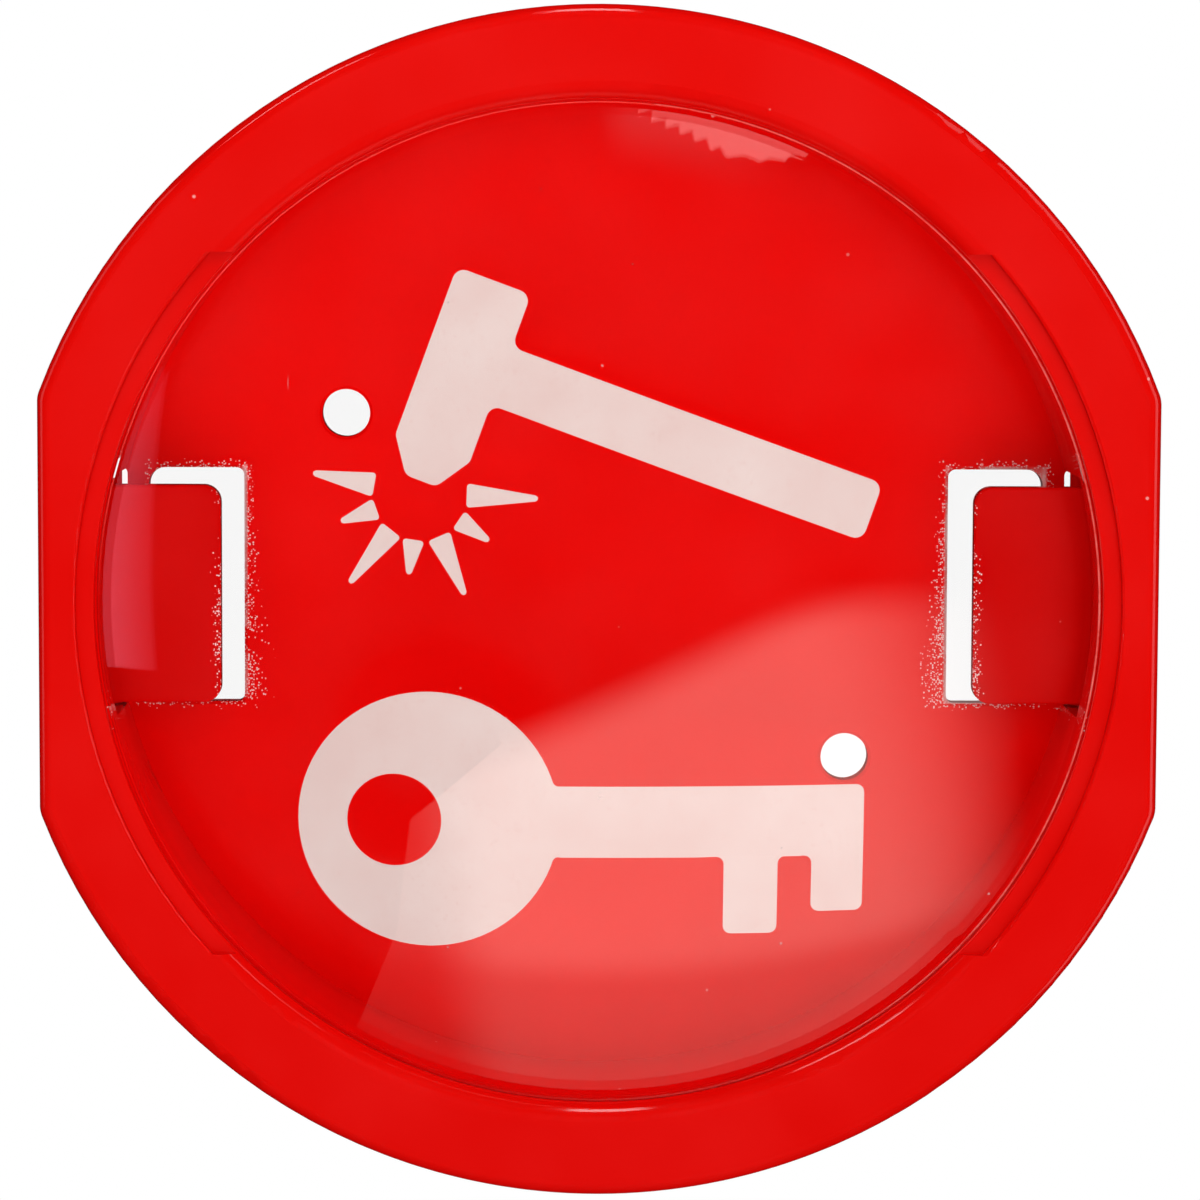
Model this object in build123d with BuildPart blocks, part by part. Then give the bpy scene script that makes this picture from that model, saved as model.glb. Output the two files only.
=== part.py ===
from build123d import *
from math import cos, radians, sin, sqrt
import os

# Break-glass key box: a round wall box whose red cover carries a clear dome that is broken to
# reach the key. Two sprung latches reach in through the sides of the pot. Pressing their
# tongues, which is only possible once the dome is broken, frees the cover for a new dome.
#
# Millimetres. +X is right, +Z is up and the front faces -Y. The origin is the centre of the
# back face, which lies on the wall. Every height below is measured from the wall forwards.

# ---- across the box, from the middle outwards ----
pot_radius = 50.7  # inside the pot, and of the cover's opening
pot_wall = 2.0
latch_room = 1.55  # between the pot and the cover's flat sides
cover_wall = 2.0
flat_cut = 3.75  # how much further the round part reaches out than the flat sides
flat_corner = 2.5  # rounding where a flat side meets the round part
inner_flat_corner = 1.5

# ---- from the wall to the front ----
box_depth = 27.5  # to the front rim
lip_thickness = 2.2
glass_thickness = 1.5
gasket_thickness = 1.0
plate_thickness = 2.5

# ---- rear housing ----
plate_inset = 0.5  # the back plate lies this far inside the cover's outline
plate_edge = 0.8  # rounding of the back plate's rear edge
floor_hole_edge = 0.3  # chamfer round the holes and windows in the floor
collar_width = 0.9  # the pot's rim widens by this much under the gasket
collar_thickness = 1.5
screw_hole_radius = 2.5
screw_hole_x = 26.3  # one hole is up on the left, the other down on the right
screw_hole_z = 18.1
window_half_height = 12.35  # of the floor windows, side windows and latch bays
window_outer_corner = 1.8
window_inner_corner = 0.8
bar_width = 2.2  # floor left between a floor window and a latch bay
bay_corner = 0.6
rib_angles = [40.0, 65.0, 90.0, 115.0, 140.0]  # above the middle, and mirrored below it
rib_thickness = 1.6
rib_height = 13.0
rib_lead = 3.0  # how far a rib slopes in at its top
rib_gap = 0.4  # between the ribs and the cover that they centre

# ---- cover ----
front_edge = 1.4
skirt_edge = 0.4
opening_roll = 1.7
step_width = 1.8  # of the steps in the left and right sides of the opening
step_half_height = 35.3
step_depth = 1.2
step_edge = 0.3
seat_rib = 1.5  # wall of the rib that stands round the glass

# ---- glass ----
glass_gap = 0.3  # round the glass
flange_proud = 0.2  # how far the flange reaches past the pot's rim
flange_edge = 0.2
dome_rise = 9.5  # in front of the lip's back

# ---- latches ----
latch_wall = 2.0
tongue_reach = 12.0  # into the pot
tongue_top = 13.5
tongue_corner = 1.8
tongue_edge = 0.3
tongue_end_gap = 1.15  # above and below the tongue, in its side window
tongue_window_gap = 2.0  # in front of the tongue, in its side window
tongue_tip_gap = 1.7  # from the tongue's tip to the inner edge of the floor window behind it
pivot_inset = 1.1  # the pivot lies this far inside the pot's outer face
pivot_height = 4.2
hub_wall = 0.95
hub_play = 0.15  # between the hub and the ears at its ends
hub_room = 0.4  # between the hub and the sides of its bay
nose_gap = 0.15  # from the nose to the cover's flat side
nose_ramp = 1.7  # height of the slope that lets the cover push the nose in
nose_height = 2.3
nose_undercut = 0.5
gusset_reach = 4.0
gusset_thickness = 1.4
gusset_z = 7.5
ear_thickness = 3.0
ear_wall = 1.9
ear_gap = 0.35  # from the ears to the cover
pin_radius = 1.0
pin_fit = 0.02  # radial, in the ears
pin_running_fit = 0.05  # radial, in the latch
pin_chamfer = 0.2

# ---- latch springs ----
wire_diameter = 0.5
coil_gap = 0.1  # between the coil and the pin, and between the spring and what it bears on
coil_pitch = 0.62
coil_turns = 5.75  # three quarters of a turn over, so that the legs leave at a right angle
coil_end_room = 0.5  # at each end of the coil, inside the gap in the hub
spring_headroom = 1.3  # between the spring's front leg and the tongue
post_width = 2.4
post_inset = 0.2  # from the edge of the latch bay

# ---- sizes that follow ----
pot_outer_radius = pot_radius + pot_wall
collar_radius = pot_outer_radius + collar_width
cover_inner_flat = pot_outer_radius + latch_room
flat_half_width = cover_inner_flat + cover_wall
outer_radius = flat_half_width + flat_cut
cover_inner_radius = outer_radius - cover_wall
rib_reach = cover_inner_radius - rib_gap

lip_back = box_depth - lip_thickness
glass_back = lip_back - glass_thickness
pot_rim = glass_back - gasket_thickness
flange_radius = collar_radius + flange_proud
pocket_radius = flange_radius + glass_gap
dome_foot_radius = pot_radius - glass_gap
dome_top = lip_back + dome_rise
dome_radius = (dome_foot_radius**2 + dome_rise**2) / (2 * dome_rise)
inner_dome_radius = dome_radius - glass_thickness
inner_foot_radius = sqrt(inner_dome_radius**2 - (glass_back - dome_top + dome_radius) ** 2)

pivot_x = pot_outer_radius - pivot_inset
hub_radius = pin_radius + pin_running_fit + hub_wall
hub_half_length = window_half_height - hub_play
leg_inner_x = pivot_x - latch_wall / 2
leg_outer_x = pivot_x + latch_wall / 2
tongue_back = tongue_top - latch_wall
tongue_tip_x = pot_radius - tongue_reach
tongue_half_height = window_half_height - tongue_end_gap
nose_tip_x = cover_inner_flat - nose_gap

bay_inner_x = pivot_x - hub_radius - hub_room
bay_outer_x = pivot_x + hub_radius + hub_room
window_outer_x = bay_inner_x - bar_width
window_inner_x = tongue_tip_x - tongue_tip_gap
side_window_top = tongue_top + tongue_window_gap
ear_outer_x = cover_inner_flat - ear_gap
ear_outer_z = window_half_height + ear_thickness

coil_radius = pin_radius + coil_gap + wire_diameter / 2
coil_height = coil_pitch * coil_turns
hub_gap_half = coil_height / 2 + wire_diameter / 2 + coil_end_room
post_outer_x = bay_inner_x - post_inset
post_middle_x = (window_outer_x + post_outer_x) / 2
post_top = pivot_height + coil_radius - wire_diameter / 2 - coil_gap


def level(height):
    """A plane parallel to the wall, at a height in front of it, with X right and Z up."""
    return Plane.XZ.offset(height)


def radial_plane(angle):
    """A plane through the middle of the box: outwards at the angle, then forwards."""
    outwards = (cos(radians(angle)), 0, sin(radians(angle)))
    across = (sin(radians(angle)), 0, -cos(radians(angle)))
    return Plane(origin=(0, 0, 0), x_dir=outwards, z_dir=across)


def flatted_disc(radius, half_width, corner):
    """Draw a disc with straight left and right sides into the open sketch."""
    Circle(radius)
    Rectangle(2 * half_width, 2 * radius, mode=Mode.INTERSECT)
    fillet(vertices(), corner)


def ring(outer, inner):
    """Draw a flat ring into the open sketch."""
    Circle(outer)
    Circle(inner, mode=Mode.SUBTRACT)


left_side = radial_plane(180)

# ---- rear housing: back plate, pot, ribs and the ears that carry the latch pins ----
with BuildPart() as rear_housing:
    with BuildSketch(level(0)):
        flatted_disc(outer_radius - plate_inset, flat_half_width - plate_inset, flat_corner)
    extrude(amount=plate_thickness)
    fillet(faces().sort_by(Axis.Y)[-1].edges(), plate_edge)

    # windows and screw holes through the floor, with a chamfer round them
    with BuildSketch(level(0)):
        with Locations(((window_inner_x + window_outer_x) / 2, 0)):
            Rectangle(window_outer_x - window_inner_x, 2 * window_half_height)
        fillet(vertices().group_by(Axis.X)[0], window_inner_corner)
        fillet(vertices().group_by(Axis.X)[-1], window_outer_corner)
        mirror(about=Plane.YZ)
    extrude(amount=plate_thickness, mode=Mode.SUBTRACT)
    with Locations(level(plate_thickness)):
        with Locations((-screw_hole_x, screw_hole_z), (screw_hole_x, -screw_hole_z)):
            Hole(screw_hole_radius, plate_thickness)
    chamfer(faces().sort_by(Axis.Y)[0].inner_wires().edges(), floor_hole_edge)

    # the pot, whose rim widens under the gasket
    with BuildSketch(level(plate_thickness)):
        ring(pot_outer_radius, pot_radius)
    extrude(amount=pot_rim - plate_thickness)
    with BuildSketch(level(pot_rim - collar_thickness)):
        ring(collar_radius, pot_radius)
    extrude(amount=collar_thickness)

    # ribs between the pot and the plate, which also centre the cover
    for angle in rib_angles + [-angle for angle in rib_angles]:
        with BuildSketch(radial_plane(angle)):
            with BuildLine():
                Polyline(
                    (pot_outer_radius - pot_wall / 2, plate_thickness),
                    (rib_reach, plate_thickness),
                    (rib_reach, rib_height - rib_lead),
                    (rib_reach - rib_lead, rib_height),
                    (pot_outer_radius - pot_wall / 2, rib_height),
                    close=True,
                )
            make_face()
        extrude(amount=rib_thickness / 2, both=True)

    # ears at both ends of each latch
    with BuildSketch(level(0)):
        with Locations(((bay_inner_x + ear_outer_x) / 2, window_half_height + ear_thickness / 2)):
            Rectangle(ear_outer_x - bay_inner_x, ear_thickness)
        mirror(about=Plane.XZ)
        mirror(about=Plane.YZ)
    extrude(amount=pivot_height + pin_radius + ear_wall)

    # bays through the plate for the latches, and above them the side windows in the pot
    with BuildSketch(level(0)):
        with Locations(((bay_inner_x + bay_outer_x) / 2, 0)):
            RectangleRounded(bay_outer_x - bay_inner_x, 2 * window_half_height, bay_corner)
        mirror(about=Plane.YZ)
    extrude(amount=plate_thickness, mode=Mode.SUBTRACT)
    with BuildSketch(level(plate_thickness)):
        with Locations(((window_outer_x + bay_outer_x) / 2, 0)):
            Rectangle(bay_outer_x - window_outer_x, 2 * window_half_height)
        mirror(about=Plane.YZ)
    extrude(amount=side_window_top - plate_thickness, mode=Mode.SUBTRACT)

    # posts on the floor that the springs' lower legs bear on
    with BuildSketch(level(plate_thickness)):
        with Locations((post_middle_x, coil_height / 2 + wire_diameter / 2)):
            Rectangle(post_outer_x - window_outer_x, post_width)
        mirror(about=Plane.YZ)
    extrude(amount=post_top - plate_thickness)

    # holes for the latch pins through the ears
    with BuildSketch(Plane.XY):
        with Locations((pivot_x, -pivot_height), (-pivot_x, -pivot_height)):
            Circle(pin_radius + pin_fit)
    extrude(amount=ear_outer_z, both=True, mode=Mode.SUBTRACT)

# ---- cover: skirt, front lip and the rib that stands round the glass ----
with BuildPart() as front_cover:
    with BuildSketch(level(plate_thickness)):
        flatted_disc(outer_radius, flat_half_width, flat_corner)
    extrude(amount=box_depth - plate_thickness)
    fillet(faces().sort_by(Axis.Y)[0].edges(), front_edge)
    with BuildSketch(level(plate_thickness)):
        flatted_disc(cover_inner_radius, cover_inner_flat, inner_flat_corner)
    extrude(amount=lip_back - plate_thickness, mode=Mode.SUBTRACT)
    with BuildSketch(level(pot_rim)):
        ring(pocket_radius + seat_rib, pocket_radius)
    extrude(amount=lip_back - pot_rim)

    # the opening: its edge rolls in, except in the wider steps on the left and right
    with BuildSketch(level(lip_back)):
        Circle(pot_radius)
    extrude(amount=lip_thickness, mode=Mode.SUBTRACT)
    fillet(faces().sort_by(Axis.Y)[0].inner_wires().edges(), opening_roll)
    with BuildSketch(level(box_depth - step_depth)):
        ring(pot_radius + step_width, pot_radius - opening_roll)
        Rectangle(2 * outer_radius, 2 * step_half_height, mode=Mode.INTERSECT)
    extrude(amount=step_depth, mode=Mode.SUBTRACT)
    inner_rim = faces().sort_by(Axis.Y)[0].inner_wires().edges().filter_by(GeomType.CIRCLE)
    fillet(inner_rim.group_by(SortBy.RADIUS)[-1], step_edge)
    fillet(faces().sort_by(Axis.Y)[-1].outer_wire().edges(), skirt_edge)

# ---- glass: a thin dome that rises through the opening from a flange behind the lip ----
with BuildPart() as glass_lens:
    with BuildSketch(left_side):
        with BuildLine():
            TangentArc((0, dome_top), (dome_foot_radius, lip_back), tangent=(1, 0))
            Polyline(
                (dome_foot_radius, lip_back),
                (flange_radius, lip_back),
                (flange_radius, glass_back),
                (inner_foot_radius, glass_back),
            )
            TangentArc(
                (0, dome_top - glass_thickness), (inner_foot_radius, glass_back), tangent=(1, 0)
            )
            Line((0, dome_top - glass_thickness), (0, dome_top))
        make_face()
        fillet(vertices().group_by(Axis.X)[-1], flange_edge)
    revolve(axis=Axis.Y)

# ---- gasket between the glass and the pot's rim ----
with BuildPart() as lens_gasket:
    with BuildSketch(level(pot_rim)):
        ring(collar_radius, pot_radius + glass_gap)
    extrude(amount=gasket_thickness)

# ---- left latch: tongue, leg, nose and hub, with two gussets under the tongue ----
with BuildPart() as left_latch:
    with BuildSketch(left_side):
        with BuildLine():
            Polyline(
                (tongue_tip_x, tongue_top),
                (leg_outer_x, tongue_top),
                (nose_tip_x, tongue_top - nose_ramp),
                (nose_tip_x, tongue_top - nose_height),
                (leg_outer_x, tongue_top - nose_height - nose_undercut),
                (leg_outer_x, pivot_height),
                (leg_inner_x, pivot_height),
                (leg_inner_x, tongue_back),
                (tongue_tip_x, tongue_back),
                close=True,
            )
        make_face()
    extrude(amount=tongue_half_height, both=True)
    fillet(edges().filter_by(Axis.Y).group_by(Axis.X)[-1], tongue_corner)
    fillet(faces().filter_by(Plane.XZ).sort_by(Axis.Y)[0].edges(), tongue_edge)
    for z in (-gusset_z, gusset_z):
        with BuildSketch(left_side.offset(z)):
            with BuildLine():
                Polyline(
                    (leg_inner_x, tongue_back),
                    (leg_inner_x - gusset_reach, tongue_back),
                    (leg_inner_x, tongue_back - gusset_reach),
                    close=True,
                )
            make_face()
        extrude(amount=gusset_thickness / 2, both=True)
    with BuildSketch(left_side):
        with Locations((pivot_x, pivot_height)):
            Circle(hub_radius)
    extrude(amount=hub_half_length, both=True)
    with BuildSketch(left_side):
        with Locations((pivot_x, pivot_height)):
            Rectangle(2 * hub_radius + coil_gap, 2 * hub_radius + coil_gap)
    extrude(amount=hub_gap_half, both=True, mode=Mode.SUBTRACT)
    with BuildSketch(left_side):
        with Locations((pivot_x, pivot_height)):
            Circle(pin_radius + pin_running_fit)
    extrude(amount=hub_half_length, both=True, mode=Mode.SUBTRACT)

# ---- left latch pin ----
with BuildPart() as left_latch_pin:
    with BuildSketch(left_side):
        with Locations((pivot_x, pivot_height)):
            Circle(pin_radius)
    extrude(amount=ear_outer_z, both=True)
    chamfer(edges().filter_by(GeomType.CIRCLE), pin_chamfer)

# ---- left latch spring: a coil round the pin, a leg behind the latch and one on the post ----
with BuildPart() as left_latch_spring:
    with BuildLine() as wire:
        coil = Helix(
            coil_pitch, coil_height, coil_radius, center=(-pivot_x, -pivot_height, -coil_height / 2)
        )
        Line(coil @ 0, coil @ 0 - (coil % 0) * (tongue_back - pivot_height - spring_headroom))
        Line(coil @ 1, coil @ 1 + (coil % 1) * (pivot_x - post_middle_x))
    path = wire.wires()[0]
    with BuildSketch(Plane(path @ 0, z_dir=path % 0)):
        Circle(wire_diameter / 2)
    sweep(path=path)

# ---- label every piece and write it; the right latch mirrors the left one ----
pieces = {
    "rear_housing": rear_housing.part,
    "front_cover": front_cover.part,
    "glass_lens": glass_lens.part,
    "lens_gasket": lens_gasket.part,
    "left_latch": left_latch.part,
    "left_latch_pin": left_latch_pin.part,
    "left_latch_spring": left_latch_spring.part,
    "right_latch": mirror(left_latch.part, about=Plane.YZ),
    "right_latch_pin": mirror(left_latch_pin.part, about=Plane.YZ),
    "right_latch_spring": mirror(left_latch_spring.part, about=Plane.YZ),
}
os.makedirs("parts", exist_ok=True)
for name, piece in pieces.items():
    piece.label = name
    export_step(piece, f"parts/{name}.step")
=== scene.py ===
"""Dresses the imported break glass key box: materials, the lens print, light, floor and camera.

Metres throughout, in the part's own frame: x to the right, z up, the box faces -y and its
back lies on y = 0. Lengths named _MM are millimetres and are scaled where they are used.
"""

import bmesh
import bpy
from math import acos, atan2, cos, pi, radians, sin, sqrt, tan
from mathutils import Matrix, Vector


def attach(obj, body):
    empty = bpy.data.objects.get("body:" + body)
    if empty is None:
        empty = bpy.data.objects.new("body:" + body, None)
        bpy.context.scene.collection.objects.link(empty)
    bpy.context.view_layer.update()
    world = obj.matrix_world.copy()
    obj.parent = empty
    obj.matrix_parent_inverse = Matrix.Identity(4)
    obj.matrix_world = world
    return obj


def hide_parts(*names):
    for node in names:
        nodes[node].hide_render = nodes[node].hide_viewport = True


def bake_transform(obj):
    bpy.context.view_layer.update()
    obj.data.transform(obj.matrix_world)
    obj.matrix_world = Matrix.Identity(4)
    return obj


MM = 0.001

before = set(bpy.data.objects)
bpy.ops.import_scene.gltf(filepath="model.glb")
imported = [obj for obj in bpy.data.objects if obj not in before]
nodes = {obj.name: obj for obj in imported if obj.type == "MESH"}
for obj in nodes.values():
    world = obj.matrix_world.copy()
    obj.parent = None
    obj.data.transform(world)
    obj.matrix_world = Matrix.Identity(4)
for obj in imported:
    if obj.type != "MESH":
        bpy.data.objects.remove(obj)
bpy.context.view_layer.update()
scene = bpy.context.scene
scene.view_settings.view_transform = "Standard"
scene.view_settings.look = "None"

# ---------------------------------------------------------------- camera
# it looks at the front face from a little above and from a little to the left
FACE_CENTRE = Vector((0.0, -0.0275, 0.0))
CAMERA_DISTANCE = 0.45
CAMERA_RAISE = radians(5.23)
CAMERA_SIDE = radians(0.86)
CAMERA_ROLL = radians(0.23)
FOCAL_WIDTHS = 4494 / 1200  # focal length in widths of the frame
AIM_UP = 0.00070
AIM_RIGHT = 0.00003
SENSOR_WIDTH = 36.0

forward = Vector((
    sin(CAMERA_SIDE) * cos(CAMERA_RAISE),
    cos(CAMERA_SIDE) * cos(CAMERA_RAISE),
    -sin(CAMERA_RAISE),
))
right = Vector((cos(CAMERA_SIDE), -sin(CAMERA_SIDE), 0.0))
up = right.cross(forward)
eye = FACE_CENTRE - forward * CAMERA_DISTANCE
aim = (FACE_CENTRE + up * AIM_UP + right * AIM_RIGHT - eye).normalized()
side = aim.cross(up).normalized()
top = side.cross(aim)
rolled_side = side * cos(CAMERA_ROLL) + top * sin(CAMERA_ROLL)
rolled_top = top * cos(CAMERA_ROLL) - side * sin(CAMERA_ROLL)
camera_data = bpy.data.cameras.new("camera")
camera = bpy.data.objects.new("camera", camera_data)
scene.collection.objects.link(camera)
camera.matrix_world = Matrix.Translation(eye) @ Matrix(
    (rolled_side, rolled_top, -aim)
).transposed().to_4x4()
camera_data.sensor_width = SENSOR_WIDTH
camera_data.lens = SENSOR_WIDTH * FOCAL_WIDTHS
camera_data.clip_start = 0.01
scene.camera = camera


# ---------------------------------------------------------------- node helpers
def calc(tree, operation, *values):
    """A maths node fed with numbers or with other nodes' sockets."""
    node = tree.nodes.new("ShaderNodeMath")
    node.operation = operation
    for socket, value in zip(node.inputs, values):
        if isinstance(value, bpy.types.NodeSocket):
            tree.links.new(value, socket)
        else:
            socket.default_value = value
    return node.outputs[0]


def ramp(tree, value, low, high, out_low, out_high, interpolation="LINEAR"):
    """Maps low..high to out_low..out_high and holds the ends."""
    node = tree.nodes.new("ShaderNodeMapRange")
    node.interpolation_type = interpolation
    for index, number in enumerate((low, high, out_low, out_high), start=1):
        node.inputs[index].default_value = number
    tree.links.new(value, node.inputs[0])
    return node.outputs[0]


SCRATCH_SQUEEZE = 0.045  # a scratch's cells are this much coarser along it than across


class Shader:
    """A material and short ways to add nodes to it."""

    def __init__(self, name, colour, roughness, **values):
        self.material = bpy.data.materials.new(name)
        self.material.use_nodes = True
        self.tree = self.material.node_tree
        self.bsdf = self.tree.nodes["Principled BSDF"]
        self.output = self.tree.nodes["Material Output"]
        self.bsdf.inputs["Base Color"].default_value = (*colour, 1.0)
        self.bsdf.inputs["Roughness"].default_value = roughness
        for socket, value in values.items():
            self.bsdf.inputs[socket.replace("_", " ")].default_value = value
        coordinates = self.tree.nodes.new("ShaderNodeTexCoord")
        self.place = coordinates.outputs["Object"]

    def link(self, value, socket):
        if isinstance(value, bpy.types.NodeSocket):
            self.tree.links.new(value, socket)
        else:
            socket.default_value = value

    def axes(self):
        """The object's own x, y and z."""
        node = self.tree.nodes.new("ShaderNodeSeparateXYZ")
        self.link(self.place, node.inputs[0])
        return node.outputs

    def stretch(self, scale, turn=(0.0, 0.0, 0.0)):
        """The object's own coordinates, scaled and turned."""
        node = self.tree.nodes.new("ShaderNodeMapping")
        node.inputs["Scale"].default_value = scale
        node.inputs["Rotation"].default_value = turn
        self.link(self.place, node.inputs["Vector"])
        return node.outputs["Vector"]

    def noise(self, scale, detail=3.0, roughness=0.5, vector=None):
        node = self.tree.nodes.new("ShaderNodeTexNoise")
        node.inputs["Scale"].default_value = scale
        node.inputs["Detail"].default_value = detail
        node.inputs["Roughness"].default_value = roughness
        self.link(vector or self.place, node.inputs["Vector"])
        return node.outputs["Fac"]

    def cells(self, scale, vector=None):
        """Distance to the nearest of scattered points, and that point's random numbers."""
        node = self.tree.nodes.new("ShaderNodeTexVoronoi")
        node.inputs["Scale"].default_value = scale
        self.link(vector or self.place, node.inputs["Vector"])
        split = self.tree.nodes.new("ShaderNodeSeparateColor")
        self.link(node.outputs["Color"], split.inputs[0])
        return node.outputs["Distance"], split.outputs

    def math(self, operation, *values):
        return calc(self.tree, operation, *values)

    def span(self, value, low, high, out_low=0.0, out_high=1.0):
        return ramp(self.tree, value, low, high, out_low, out_high)

    def blend(self, fac, first, second):
        """Goes from the first colour to the second as fac goes from 0 to 1."""
        node = self.tree.nodes.new("ShaderNodeMix")
        node.data_type = "RGBA"
        self.link(fac, node.inputs[0])
        for socket, value in ((node.inputs[6], first), (node.inputs[7], second)):
            self.link(value if isinstance(value, bpy.types.NodeSocket) else (*value, 1.0), socket)
        return node.outputs[2]

    def specks(self, scale, size, share, vector=None):
        """Sparse dots: cells whose random value is under share, out to size of their width."""
        distance, chance = self.cells(scale, vector)
        chosen = self.math("LESS_THAN", chance[0], share)
        dot = self.span(distance, size * 0.6, size, 1.0, 0.0)
        return self.math("MULTIPLY", chosen, dot)

    def scratches(self, width, scale, share, turns):
        """Sparse fine lines in a few directions, each broken up along its length."""
        total = None
        for turn in turns:
            along = scale * SCRATCH_SQUEEZE
            fine = self.stretch((scale, along, along), (0.0, turn, 0.3 * turn))
            distance, chance = self.cells(1.0, fine)
            chosen = self.math("LESS_THAN", chance[1], share)
            line = self.math("MULTIPLY", chosen, self.span(distance, width * 0.5, width, 1.0, 0.0))
            total = line if total is None else self.math("MAXIMUM", total, line)
        return total

    def bump(self, height, distance):
        node = self.tree.nodes.new("ShaderNodeBump")
        node.inputs["Strength"].default_value = 1.0
        node.inputs["Distance"].default_value = distance
        self.link(height, node.inputs["Height"])
        self.link(node.outputs["Normal"], self.bsdf.inputs["Normal"])

    def set(self, socket, value):
        self.link(value, self.bsdf.inputs[socket])


# ---------------------------------------------------------------- materials
DUST_COLOUR = (0.98, 0.50, 0.45)
# painted glow of the backlit windows: the colour and size of its white specks
GLOW_SPECK_COLOUR = (0.96, 0.84, 0.81)
GLOW_SPECK_CELLS = 5600.0
# metres, as the shaders' coordinates are: the floor's windows and the tips of the tongues
WINDOW_INNER_X, WINDOW_OUTER_X, WINDOW_HALF_Z = 0.037, 0.047, 0.01235
TONGUE_TIP_X = 0.0387
# how far the painted glow reaches from a window's edge, and from a tongue's tip
GLOW_REACH = 0.0034  # from a window's edge
TIP_GLOW_REACH = 0.0012


def moulded(name, colour, deep, roughness, dust, painted_glow=None):
    """Injection-moulded plastic: faint flow mottle, slight sink waviness, dust and hairlines.

    painted_glow, if given, paints white specks of backlight glow where its mask is set.
    """
    made = Shader(name, colour, roughness, IOR=1.5)
    mottle = made.noise(90.0, 2.0, 0.55)
    tone = made.blend(made.span(mottle, 0.35, 0.7), deep, colour)
    settled = made.specks(420.0, 0.09, dust)
    lines = made.scratches(0.035, 900.0, 0.05, (0.5, 2.4))
    settled = made.math("MAXIMUM", settled, made.math("MULTIPLY", lines, 0.35))
    tone = made.blend(made.math("MULTIPLY", settled, 0.6), tone, DUST_COLOUR)
    if painted_glow:
        # painted glow: white specks where the backlit windows glow
        tone = made.blend(painted_glow(made), tone, GLOW_SPECK_COLOUR)
    made.set("Base Color", tone)
    made.set("Roughness", made.span(mottle, 0.3, 0.75, roughness * 0.8, roughness * 1.3))
    made.bump(made.noise(140.0, 1.0), 0.00006)
    return made.material


def glow_specks(made, share):
    """Painted glow: white specks on that share of fine scattered cells, and how patchy they are
    there.
    """
    patchy = made.span(made.noise(170.0, 2.0), 0.42, 0.6, 0.35, 1.0)
    distance, chance = made.cells(GLOW_SPECK_CELLS)
    chosen = made.math("LESS_THAN", chance[0], made.math("MULTIPLY", share, patchy))
    return made.math("MULTIPLY", chosen, made.span(distance, 0.35, 0.6, 1.0, 0.0)), patchy


def window_edge_glow(made):
    """Painted glow of the backlit windows on the floor: white specks dense at the edges of its two
    windows, thinning out.
    """
    x, _, z = made.axes()
    aside = made.math("ABSOLUTE", x)
    past_x = made.math(
        "MAXIMUM",
        made.math("SUBTRACT", WINDOW_INNER_X, aside),
        made.math("SUBTRACT", aside, WINDOW_OUTER_X),
    )
    above = made.math("SUBTRACT", z, WINDOW_HALF_Z)
    # little glow is painted below a window
    below = made.math("MULTIPLY", made.math("ADD", z, WINDOW_HALF_Z), -4.0)
    past = made.math("MAXIMUM", past_x, made.math("MAXIMUM", above, below))
    spread = made.span(z, -0.007, 0.007, 1.0, 0.4)
    thinning = made.span(made.math("DIVIDE", past, spread), 0.0, GLOW_REACH, 1.0, 0.0)
    scattered_glow, patchy = glow_specks(made, made.math("POWER", thinning, 2.0))
    # a thin rim of painted glow right at the windows' edges
    edge_glow = made.math(
        "MULTIPLY",
        made.span(past, 0.0001, 0.0004, 1.0, 0.0),
        made.span(patchy, 0.4, 0.8, 0.0, 0.9),
    )
    return made.math("MAXIMUM", scattered_glow, edge_glow)


def tongue_tip_glow(made):
    """Painted glow in white specks along the lower half of each tongue's tip, beside the backlit
    window.
    """
    x, _, z = made.axes()
    past = made.math("SUBTRACT", made.math("ABSOLUTE", x), TONGUE_TIP_X)
    near = made.math("POWER", made.span(past, 0.0, TIP_GLOW_REACH, 0.9, 0.0), 1.5)
    lower = made.span(z, -0.002, 0.005, 1.0, 0.1)
    return glow_specks(made, made.math("MULTIPLY", near, lower))[0]


# one red plastic in three copies: the housing's is painted lighter and the latches' darker than
# the cover's, as painted light and shade
housing_red_lightened = moulded(
    "red_plastic_housing_lightened", (0.95, 0.0016, 0.0012), (0.91, 0.0012, 0.0008), 0.07, 0.03, window_edge_glow,
)
cover_red = moulded(
    "red_plastic_cover", (0.785, 0.0026, 0.0014), (0.755, 0.0020, 0.0010), 0.08, 0.03,
)
latch_red_darkened = moulded(
    "red_plastic_latch_darkened", (0.70, 0.0010, 0.0008), (0.655, 0.0008, 0.0006), 0.08, 0.04, tongue_tip_glow,
)

# clear acrylic lens: refracts what is seen through it, and lets lamp and fill light pass
lens = Shader("lens_acrylic", (1.0, 0.997, 0.995), 0.0, IOR=1.49)
lens.bsdf.inputs["Transmission Weight"].default_value = 1.0
lens_lines = lens.scratches(0.03, 700.0, 0.035, (0.35, 1.9))
lens_dust = lens.specks(330.0, 0.06, 0.05)
path = lens.tree.nodes.new("ShaderNodeLightPath")
clear = lens.tree.nodes.new("ShaderNodeBsdfTransparent")
unlit = lens.math("MAXIMUM", path.outputs["Is Shadow Ray"], path.outputs["Is Diffuse Ray"])
body = lens.tree.nodes.new("ShaderNodeMixShader")
lens.link(unlit, body.inputs[0])
lens.link(lens.bsdf.outputs[0], body.inputs[1])
lens.link(clear.outputs[0], body.inputs[2])
fleck = lens.tree.nodes.new("ShaderNodeBsdfDiffuse")
fleck.inputs["Color"].default_value = (0.95, 0.72, 0.68, 1.0)
dusty = lens.tree.nodes.new("ShaderNodeMixShader")
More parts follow.
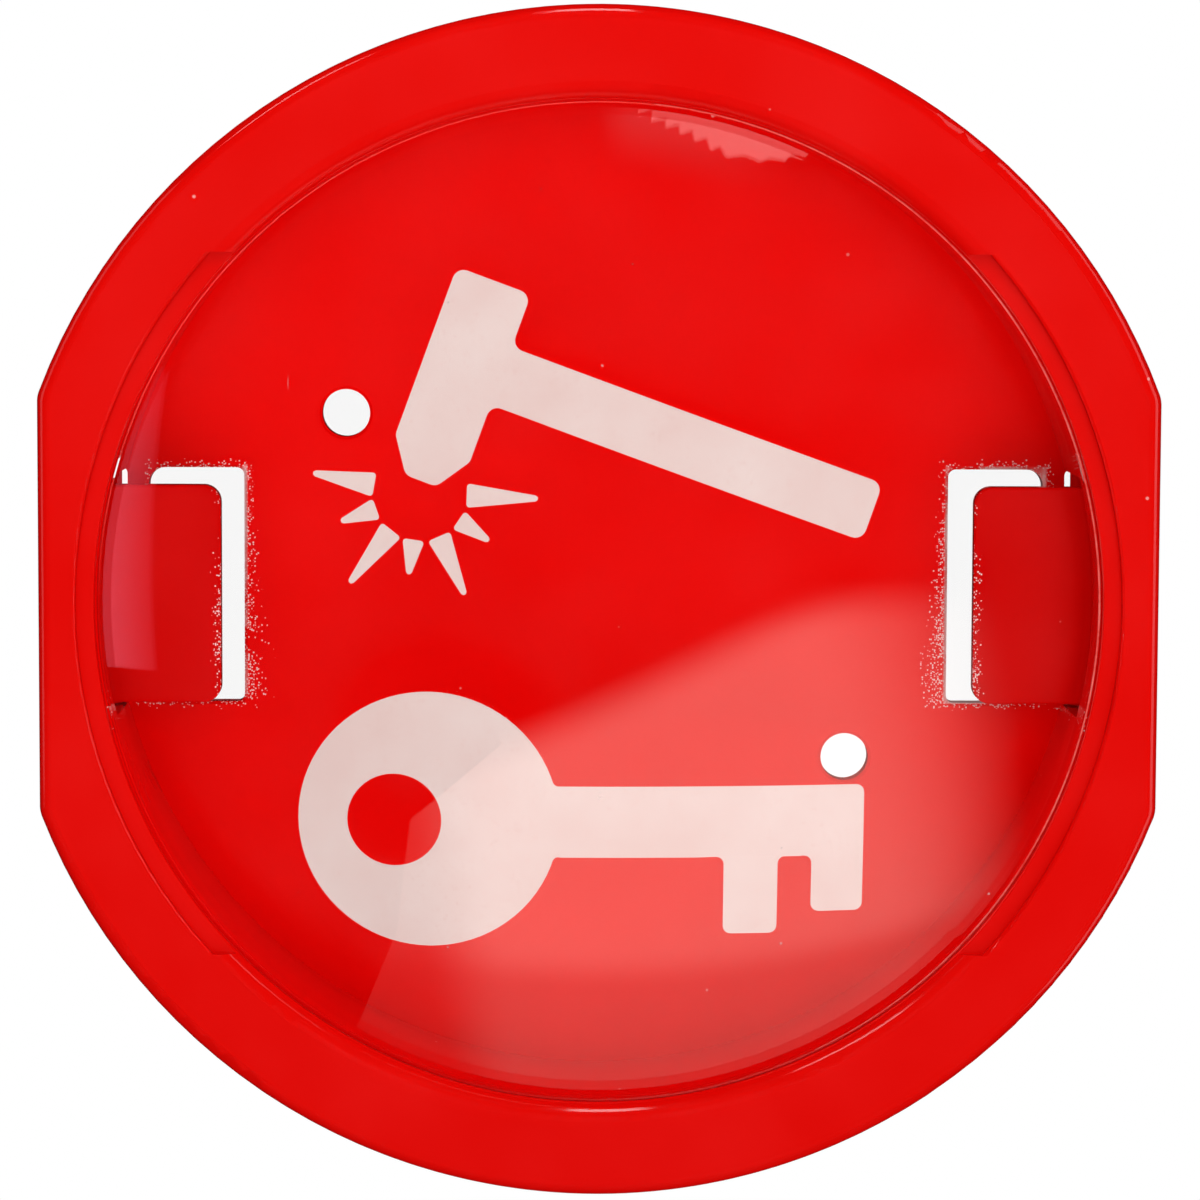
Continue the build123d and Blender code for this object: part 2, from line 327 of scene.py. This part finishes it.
lens.link(lens.math("MULTIPLY", lens.math("MAXIMUM", lens_dust, lens_lines), 0.3), dusty.inputs[0])
lens.link(body.outputs[0], dusty.inputs[1])
lens.link(fleck.outputs[0], dusty.inputs[2])
lens.link(dusty.outputs[0], lens.output.inputs["Surface"])

gasket = Shader("gasket_silicone", (0.50, 0.004, 0.003), 0.45, IOR=1.41)
gasket.set("Base Color", gasket.blend(
    gasket.noise(300.0), (0.42, 0.003, 0.002), (0.55, 0.005, 0.004),
))
gasket.set("Roughness", gasket.span(gasket.noise(900.0), 0.3, 0.7, 0.38, 0.55))
gasket.bump(gasket.noise(2500.0, 2.0), 0.00003)


def drawn_steel(name, colour, along, roughness):
    """Drawn wire and bar: fine lines along one axis, a little dull oil film between them."""
    made = Shader(name, colour, roughness, Metallic=1.0)
    drawn = made.noise(1.0, 3.0, 0.6, made.stretch(along))
    film = made.noise(700.0, 3.0)
    dark = tuple(0.72 * part for part in colour)
    made.set("Base Color", made.blend(made.span(film, 0.35, 0.7), dark, colour))
    made.set("Roughness", made.span(drawn, 0.3, 0.7, roughness * 0.7, roughness * 1.5))
    made.bump(drawn, 0.00001)
    return made.material


pin_steel = drawn_steel("pin_steel", (0.66, 0.65, 0.64), (9000.0, 9000.0, 250.0), 0.24)
spring_steel = drawn_steel("spring_steel", (0.50, 0.49, 0.48), (4000.0, 4000.0, 4000.0), 0.3)


def dress(made, *names):
    for name in names:
        piece = nodes[name]
        if not piece.material_slots:
            piece.data.materials.append(made)
        for slot in piece.material_slots:
            slot.material = made


dress(housing_red_lightened, "rear_housing")
dress(cover_red, "front_cover")
dress(latch_red_darkened, "left_latch", "right_latch")
dress(lens.material, "glass_lens")
dress(gasket.material, "lens_gasket")
dress(pin_steel, "left_latch_pin", "right_latch_pin")
dress(spring_steel, "left_latch_spring", "right_latch_spring")

# ---------------------------------------------------------------- latch springs
# each spring's coil is copied as a wire in the world frame, and the imported spring is hidden
for hand, lever in (("left", "left_lever"), ("right", "right_lever")):
    coil = nodes[f"{hand}_latch_spring"]
    wire = bpy.data.objects.new(f"{hand}_spring_wire", coil.data.copy())
    scene.collection.objects.link(wire)
    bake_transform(wire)
    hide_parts(f"{hand}_latch_spring")

# ---------------------------------------------------------------- lens
LIP_BACK_MM = 25.3
DOME_RISE_MM = 9.5
FOOT_MM = 50.4
FLANGE_MM = 53.8
GLASS_MM = 1.5
GLASS_BACK_MM = LIP_BACK_MM - GLASS_MM
DOME_MM = (FOOT_MM ** 2 + DOME_RISE_MM ** 2) / (2 * DOME_RISE_MM)
INNER_DOME_MM = DOME_MM - GLASS_MM
DOME_CENTRE_MM = LIP_BACK_MM + DOME_RISE_MM - DOME_MM
FLANGE_EDGE_MM = 0.2


DOME_STEPS = 44
DOME_SEGMENTS = 240


def new_piece(name, shape):
    """Turns a bmesh into an object in the scene."""
    mesh = bpy.data.meshes.new(name)
    shape.to_mesh(mesh)
    shape.free()
    piece = bpy.data.objects.new(name, mesh)
    scene.collection.objects.link(piece)
    return piece


def dome_arc(dome, foot):
    """(radius, height) points on the dome from its pole down to the foot height."""
    tilt = acos((foot - DOME_CENTRE_MM) / dome)
    angles = (tilt * k / DOME_STEPS for k in range(DOME_STEPS + 1))
    return [(dome * sin(angle), DOME_CENTRE_MM + dome * cos(angle)) for angle in angles]


def lathe(name, profile, segments):
    """A closed profile of (radius, height) in mm turned round the y axis; its ends are poles."""
    shape = bmesh.new()
    rows = []
    for radius, height in profile:
        if radius < 1e-6:
            rows.append([shape.verts.new(Vector((0.0, -height, 0.0)) * MM)])
            continue
        rows.append([
            shape.verts.new(Vector((
                radius * cos(2 * pi * k / segments), -height, radius * sin(2 * pi * k / segments),
            )) * MM)
            for k in range(segments)
        ])
    for inner, outer in zip(rows, rows[1:]):
        for k in range(segments):
            after = (k + 1) % segments
            if len(inner) == 1:
                shape.faces.new((inner[0], outer[k], outer[after]))
            elif len(outer) == 1:
                shape.faces.new((inner[k], outer[0], inner[after]))
            else:
                shape.faces.new((inner[k], outer[k], outer[after], inner[after]))
    bmesh.ops.recalc_face_normals(shape, faces=shape.faces)
    piece = new_piece(name, shape)
    piece.data.shade_smooth()
    piece.data.set_sharp_from_angle(angle=radians(15))
    return piece


dome = lathe("lens_dome", [
    *dome_arc(DOME_MM, LIP_BACK_MM),
    (FLANGE_MM - FLANGE_EDGE_MM, LIP_BACK_MM), (FLANGE_MM, LIP_BACK_MM - FLANGE_EDGE_MM),
    (FLANGE_MM, GLASS_BACK_MM + FLANGE_EDGE_MM), (FLANGE_MM - FLANGE_EDGE_MM, GLASS_BACK_MM),
    *reversed(dome_arc(INNER_DOME_MM, GLASS_BACK_MM)),
], DOME_SEGMENTS)
dome.data.materials.append(lens.material)
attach(dome, "cover")
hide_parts("glass_lens")

# a thin pale bead along the lens's edge on the right only, thinning out at both ends: a painted
# highlight of the edge catching the right-hand lamp
EDGE_RADIUS_MM = 50.42
EDGE_TUBE_MM = 0.11
EDGE_LIFT_MM = 0.02
EDGE_FROM, EDGE_TO = radians(-64), radians(84)
EDGE_STEPS = 180
EDGE_SIDES = 10

rim = bmesh.new()
rows = []
for step in range(EDGE_STEPS + 1):
    at = EDGE_FROM + (EDGE_TO - EDGE_FROM) * step / EDGE_STEPS
    tube = EDGE_TUBE_MM * max(0.15, sin(pi * step / EDGE_STEPS)) ** 0.6
    rows.append([
        rim.verts.new(Vector((
            (EDGE_RADIUS_MM + tube * cos(around)) * cos(at),
            -LIP_BACK_MM - tube * sin(around) - EDGE_LIFT_MM,
            (EDGE_RADIUS_MM + tube * cos(around)) * sin(at),
        )) * MM)
        for around in (2 * pi * k / EDGE_SIDES for k in range(EDGE_SIDES))
    ])
for one, two in zip(rows, rows[1:]):
    for k in range(EDGE_SIDES):
        after = (k + 1) % EDGE_SIDES
        rim.faces.new((one[k], two[k], two[after], one[after]))
rim.faces.new(rows[0])
rim.faces.new(rows[-1])
bmesh.ops.recalc_face_normals(rim, faces=rim.faces)
lens_edge_highlight = new_piece("lens_edge_highlight", rim)
lens_edge_highlight.data.shade_smooth()
# pale pink: the painted highlight colour of the lens's edge
glint_shader = Shader("lens_edge_painted_highlight", (0.92, 0.14, 0.12), 0.3, IOR=1.49)
glint_shader.set("Base Color", glint_shader.blend(
    glint_shader.span(glint_shader.noise(500.0), 0.3, 0.7), (0.86, 0.05, 0.04), (0.95, 0.20, 0.17),
))
glint_shader.set("Roughness", glint_shader.span(glint_shader.noise(2000.0), 0.3, 0.7, 0.2, 0.4))
glint_shader.bump(glint_shader.noise(3000.0), 0.00001)
lens_edge_highlight.data.materials.append(glint_shader.material)
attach(lens_edge_highlight, "cover")

# ---------------------------------------------------------------- print on the lens's inner side
PRINT_GAP_MM = 0.02
PRINT_THICKNESS_MM = 0.05
PRINT_GRID_MM = 2.0
PRINT_REACH_MM = 40.0

# the ink is white: its pink tint is painted red light thrown on it from the pot behind
ink = Shader("print_ink", (0.86, 0.66, 0.62), 0.5, IOR=1.45)
speckle = ink.noise(1800.0, 3.0, 0.7)
patch = ink.noise(120.0, 3.0)
toned = ink.blend(ink.span(patch, 0.3, 0.7), (0.84, 0.61, 0.57), (0.88, 0.69, 0.65))
ink.set("Base Color", ink.blend(
    ink.span(speckle, 0.56, 0.72, 0.0, 0.35), toned, (0.78, 0.50, 0.46),
))
ink.set("Roughness", ink.span(speckle, 0.3, 0.7, 0.4, 0.6))
ink.bump(speckle, 0.00001)


def rounded(points, radius, steps=5):
    """The polygon with each corner turned into an arc of that radius, or what fits."""
    out = []
    count = len(points)
    for index, (x, y) in enumerate(points):
        before, after = points[index - 1], points[(index + 1) % count]
        one = Vector((before[0] - x, before[1] - y))
        two = Vector((after[0] - x, after[1] - y))
        half = one.angle(two) / 2
        if abs(half - pi / 2) < 0.1:
            out.append((x, y))
            continue
        back = min(radius / tan(half), one.length * 0.45, two.length * 0.45)
        fitted = back * tan(half)
        corner = Vector((x, y))
        middle = corner + (one.normalized() + two.normalized()).normalized() * (fitted / sin(half))
        start = corner + one.normalized() * back - middle
        end = corner + two.normalized() * back - middle
        sweep = start.angle_signed(end)
        for step in range(steps + 1):
            turned = Matrix.Rotation(-sweep * step / steps, 2) @ start
            out.append(tuple(middle + turned))
    return out


def circle(x, y, radius, steps=48):
    angles = (2 * pi * k / steps for k in range(steps))
    return [(x + radius * cos(angle), y + radius * sin(angle)) for angle in angles]


def turned(points, angle, x, y):
    c, s = cos(angle), sin(angle)
    return [(x + c * a - s * b, y + s * a + c * b) for a, b in points]


def on_dome(x, z, depth):
    """The point behind the lens's inner dome at x, z, that much deeper."""
    return Vector((x, -DOME_CENTRE_MM - sqrt(INNER_DOME_MM ** 2 - x * x - z * z) + depth, z)) * MM


def print_piece(name, outlines):
    """Flat outlines in mm, holes among them, laid on the inside of the dome as a film of ink."""
    curve = bpy.data.curves.new(name, "CURVE")
    curve.dimensions = "2D"
    curve.fill_mode = "BOTH"
    for outline in outlines:
        spline = curve.splines.new("POLY")
        spline.points.add(len(outline) - 1)
        for point, (x, z) in zip(spline.points, outline):
            point.co = (x, z, 0.0, 1.0)
        spline.use_cyclic_u = True
    drawn = bpy.data.objects.new(name + "_drawn", curve)
    scene.collection.objects.link(drawn)
    bpy.context.view_layer.update()
    depsgraph = bpy.context.evaluated_depsgraph_get()
    flat = bpy.data.meshes.new_from_object(drawn.evaluated_get(depsgraph))
    bpy.data.objects.remove(drawn)
    shape = bmesh.new()
    shape.from_mesh(flat)
    bmesh.ops.remove_doubles(shape, verts=shape.verts, dist=1e-5)
    # a grid of cuts lets the flat outlines bend onto the dome
    steps = int(PRINT_REACH_MM / PRINT_GRID_MM)
    for axis in (0, 1):
        for step in range(-steps, steps + 1):
            normal = Vector((1.0 - axis, float(axis), 0.0))
            everything = shape.verts[:] + shape.edges[:] + shape.faces[:]
            place = normal * step * PRINT_GRID_MM
            bmesh.ops.bisect_plane(shape, geom=everything, plane_co=place, plane_no=normal)
    for vertex in shape.verts:
        vertex.co = on_dome(vertex.co.x, vertex.co.y, PRINT_GAP_MM)
    bmesh.ops.recalc_face_normals(shape, faces=shape.faces)
    for face in shape.faces[:]:
        if face.normal.y > 0:
            face.normal_flip()
    piece = new_piece(name, shape)
    film = piece.modifiers.new("film", "SOLIDIFY")
    film.thickness = PRINT_THICKNESS_MM * MM
    film.offset = -1.0
    piece.data.materials.append(ink.material)
    piece.visible_shadow = False
    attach(piece, "cover")
    print_pieces.append(piece)


# a hammer striking, over a key: plain signs in the place of the printing
HAMMER_TURN = radians(-20)
HAMMER_X, HAMMER_Z = -13.5, 24.5
hammer = rounded([
    (-3.9, -9.0), (-1.6, -12.4), (1.6, -12.4), (3.9, -9.0), (3.9, -3.0), (43.0, -3.0), (43.0, 3.0),
    (3.9, 3.0), (3.9, 8.5), (-3.9, 8.5),
], 1.1)
print_pieces = []
print_piece("print_hammer", [turned(hammer, HAMMER_TURN, HAMMER_X, HAMMER_Z)])
BLOW_X, BLOW_Z = -17.8, 11.6
BLOW_START = 4.6
for number, (angle, reach, width) in enumerate((
    (170, 12.5, 2.4), (200, 9.4, 2.2), (232, 13.2, 2.4), (262, 9.0, 2.2),
    (294, 12.6, 2.4), (326, 9.2, 2.2), (358, 13.6, 2.4),
), start=1):
    spike = rounded([(BLOW_START, -width / 2), (reach, 0.0), (BLOW_START, width / 2)], 0.3, 3)
    print_piece(f"print_crack_{number}", [turned(spike, radians(angle), BLOW_X, BLOW_Z)])
KEY_Z = -21.0
KEY_HALF = 3.6
BOW_X, BOW_RADIUS = -17.0, 13.0
join = atan2(KEY_HALF, sqrt(BOW_RADIUS ** 2 - KEY_HALF ** 2))
bow = [
    (BOW_X + BOW_RADIUS * cos(turn), KEY_Z + BOW_RADIUS * sin(turn))
    for turn in (join + (2 * pi - 2 * join) * k / 72 for k in range(73))
]
blade = [
    (12.4, KEY_Z - KEY_HALF), (12.4, KEY_Z - 11.6), (17.8, KEY_Z - 11.6), (17.8, KEY_Z - KEY_HALF),
    (21.2, KEY_Z - KEY_HALF), (21.2, KEY_Z - 9.4), (26.4, KEY_Z - 9.4), (26.4, KEY_Z + KEY_HALF),
]
print_piece("print_key", [rounded(bow + blade, 0.8), circle(-20.4, KEY_Z, 4.7)])

# ---------------------------------------------------------------- world and lights
DIFFUSE_LEVEL = 0.24
GLOSSY_LEVEL = 0.004
WINDOW_LEVEL = 1.0
WINDOW_SIDE = Vector((0.08, -1.0, -0.58)).normalized()
WINDOW_EDGE = (0.45, 0.95)  # cosines from its middle, where the window starts and is full

world = bpy.data.worlds.new("studio")
scene.world = world
world.use_nodes = True
wt = world.node_tree
background = wt.nodes["Background"]
background.inputs["Color"].default_value = (1.0, 1.0, 1.0, 1.0)
path = wt.nodes.new("ShaderNodeLightPath")
straight = calc(wt, "LESS_THAN", path.outputs["Glossy Depth"], 0.5)
undimmed = calc(wt, "LESS_THAN", path.outputs["Diffuse Depth"], 0.5)
through = calc(wt, "MULTIPLY", straight, undimmed)
seen = calc(wt, "MULTIPLY", through, path.outputs["Is Transmission Ray"])
seen = calc(wt, "MAXIMUM", seen, path.outputs["Is Camera Ray"])
# a large window low in front, on the right, which lights matt surfaces
towards = wt.nodes.new("ShaderNodeVectorMath")
towards.operation = "DOT_PRODUCT"
wt.links.new(wt.nodes.new("ShaderNodeTexCoord").outputs["Generated"], towards.inputs[0])
towards.inputs[1].default_value = WINDOW_SIDE
window = ramp(
    wt, towards.outputs["Value"], *WINDOW_EDGE, DIFFUSE_LEVEL, DIFFUSE_LEVEL + WINDOW_LEVEL,
    interpolation="SMOOTHSTEP",
)
matt = calc(wt, "MULTIPLY_ADD", path.outputs["Is Diffuse Ray"], window, GLOSSY_LEVEL)
wt.links.new(calc(wt, "MAXIMUM", seen, matt), background.inputs["Strength"])


def lit_group(name, *pieces):
    """A collection, outside the scene, of the pieces that a lamp or card shows on."""
    group = bpy.data.collections.new(name)
    for piece in pieces:
        group.objects.link(piece)
    return group


def lamp(name, place, target, width, height, radiance, mirrored=False, receivers=None):
    """A soft lamp that glossy surfaces mirror only where mirrored says so.

    radiance is that of its face, and receivers are the only pieces that it shows on.
    """
    data = bpy.data.lights.new(name, "AREA")
    data.shape = "RECTANGLE"
    data.size = width
    data.size_y = height
    data.energy = radiance * pi * width * height
    made = bpy.data.objects.new(name, data)
    scene.collection.objects.link(made)
    made.location = place
    made.rotation_euler = (Vector(target) - Vector(place)).to_track_quat("-Z", "Y").to_euler()
    made.visible_camera = False
    made.visible_glossy = mirrored
    made.visible_transmission = False
    if receivers:
        made.light_linking.receiver_collection = receivers


lamp("key_lamp", (0.02, -0.5, 0.1), (0, 0, 0), 0.25, 0.25, 2.0)
lamp("top_lamp", (0.02, -0.25, 0.25), (0, 0, 0), 0.2, 0.12, 1.6)
outer = lit_group("outer", nodes["front_cover"], dome, lens_edge_highlight, *print_pieces)
lamp("top_lamp_outer", (0.02, -0.25, 0.25), (0, 0, 0), 0.2, 0.12, 3.7, receivers=outer)
inner = lit_group("inner", *(
    nodes[name] for name in ("rear_housing", "left_latch", "right_latch", "lens_gasket")
))
lamp("inner_lamp", (0.04, -0.45, -0.16), (0, 0, 0), 0.25, 0.25, 1.4, receivers=inner)
lamp("back_lamp", (0.5, 1.3, 0.9), (0, 0, 0), 0.8, 0.8, 1.6)
lamp("side_lamp_right", (0.8, -0.2, 0.05), (0, -0.03, 0), 0.35, 1.8, 1.1, mirrored=True)
lamp("side_lamp_left", (-0.8, -0.12, 0.25), (0, -0.03, 0), 0.3, 0.8, 0.6, mirrored=True)
lamp("strip_top", (0.0, -0.3, 0.8), (0, -0.03, 0), 0.12, 0.25, 6.0, mirrored=True)
lamp("strip_top_left", (-0.45, -0.3, 0.7), (0, -0.03, 0), 0.1, 0.25, 5.0, mirrored=True)

# the cards show on the lens alone
mirrors = lit_group("mirrors", dome)


def card(name, distance, outline, strength, colour=(1.0, 1.0, 1.0), fades=()):
    """A glowing card at y = -distance, which only the lens mirrors.

    A fade is (across, upward, offset, span, least): the glow goes from the share least to all
    of it as across * x + upward * z + offset goes from nothing to span.
    """
    mesh = bpy.data.meshes.new(name)
    mesh.from_pydata([(x, -distance, z) for x, z in outline], [], [tuple(range(len(outline)))])
    made = bpy.data.objects.new(name, mesh)
    scene.collection.objects.link(made)
    glow = bpy.data.materials.new(name)
    glow.use_nodes = True
    tree = glow.node_tree
    tree.nodes.clear()
    emit = tree.nodes.new("ShaderNodeEmission")
    emit.inputs["Color"].default_value = (*colour, 1.0)
    output = tree.nodes.new("ShaderNodeOutputMaterial")
    tree.links.new(emit.outputs[0], output.inputs["Surface"])
    rays = tree.nodes.new("ShaderNodeLightPath")
    # a ray that has been down to the floor and back has crossed the lens's two faces twice
    level = calc(
        tree, "MULTIPLY",
        calc(tree, "LESS_THAN", rays.outputs["Transmission Depth"], 2.5), strength,
    )
    split = tree.nodes.new("ShaderNodeSeparateXYZ")
    tree.links.new(tree.nodes.new("ShaderNodeTexCoord").outputs["Object"], split.inputs[0])
    x, _, z = split.outputs
    for across, upward, offset, span, least in fades:
        along = calc(
            tree, "MULTIPLY_ADD", x, across, calc(tree, "MULTIPLY_ADD", z, upward, offset),
        )
        fade = ramp(tree, along, 0.0, span, least, 1.0, interpolation="SMOOTHSTEP")
        level = calc(tree, "MULTIPLY", level, fade)
    tree.links.new(level, emit.inputs["Strength"])
    mesh.materials.append(glow)
    made.visible_camera = False
    made.visible_diffuse = False
    made.light_linking.receiver_collection = mirrors


card("card_low", 1.0, [
    (-0.2, 0.0), (1.1, 0.0), (1.4, -0.3), (1.5, -1.2), (0.9, -2.1), (-0.1, -2.1), (-0.9, -1.9),
    (-0.549, -1.142), (-0.4, -0.79), (-0.34, -0.5), (-0.16, -0.33),
], 2.0, colour=(1.0, 0.64, 0.57), fades=(
    (0.473, -1.0, -0.212, 0.11, 0.0),  # slanting top left edge
    (0.0, -1.0, -0.03, 0.11, 0.0),  # top edge
    (1.0, 0.0, 0.36, 0.2, 0.22),  # left side
    (-1.0, -0.4, 0.812, 0.5, 0.0),  # right side
    (0.0, 1.0, 0.93, 0.13, 0.52),  # step towards the bottom
    (0.0, 1.0, 2.4, 1.5, 0.0),  # bottom
))
# its lower edge is ragged
card("card_top", 1.0, [
    (0.02, 1.0), (0.08, 0.985), (0.075, 0.965), (0.105, 0.972), (0.098, 0.948), (0.131, 0.958),
    (0.127, 0.93), (0.16, 0.942), (0.157, 0.912), (0.188, 0.925), (0.188, 0.895), (0.216, 0.91),
    (0.218, 0.875), (0.245, 0.89), (0.251, 0.852), (0.273, 0.866), (0.284, 0.835), (0.325, 0.848),
    (0.358, 0.832), (0.382, 0.848), (0.418, 0.845), (0.434, 0.866), (0.467, 0.862), (0.483, 0.885),
    (0.516, 0.872), (0.532, 0.898), (0.565, 0.888), (0.581, 0.92), (0.587, 1.1), (0.325, 1.3),
    (0.02, 1.2),
], 2.6, colour=(1.0, 0.62, 0.6))
card("card_top_haze", 1.02, [(0.0, 0.72), (0.5, 0.8), (0.5, 1.3), (0.0, 1.3)], 0.3, fades=(
    (1.0, 0.0, 0.0, 0.1, 0.0), (-1.0, 0.0, 0.45, 0.3, 0.0), (0.25, 1.0, -0.8, 0.22, 0.0),
))
card("card_left", 1.0, [
    (-0.945, -0.266), (-0.945, 0.4), (-1.3, 0.5), (-1.3, -0.292),
], 2.9, colour=(1.0, 0.22, 0.31), fades=((-1.0, 0.0, -0.86, 0.3, 0.0),))

# ---------------------------------------------------------------- floor
bpy.ops.mesh.primitive_plane_add(size=3.0, location=(0, 0, -0.5))
floor = bpy.context.object
floor.name = "floor"
pale = Shader("pale_floor", (0.85, 0.85, 0.85), 0.8)
pale.set("Base Color", pale.blend(pale.noise(6.0), (0.82, 0.82, 0.82), (0.86, 0.86, 0.86)))
floor.data.materials.append(pale.material)
floor.visible_diffuse = False
floor.visible_glossy = False
floor.visible_transmission = False
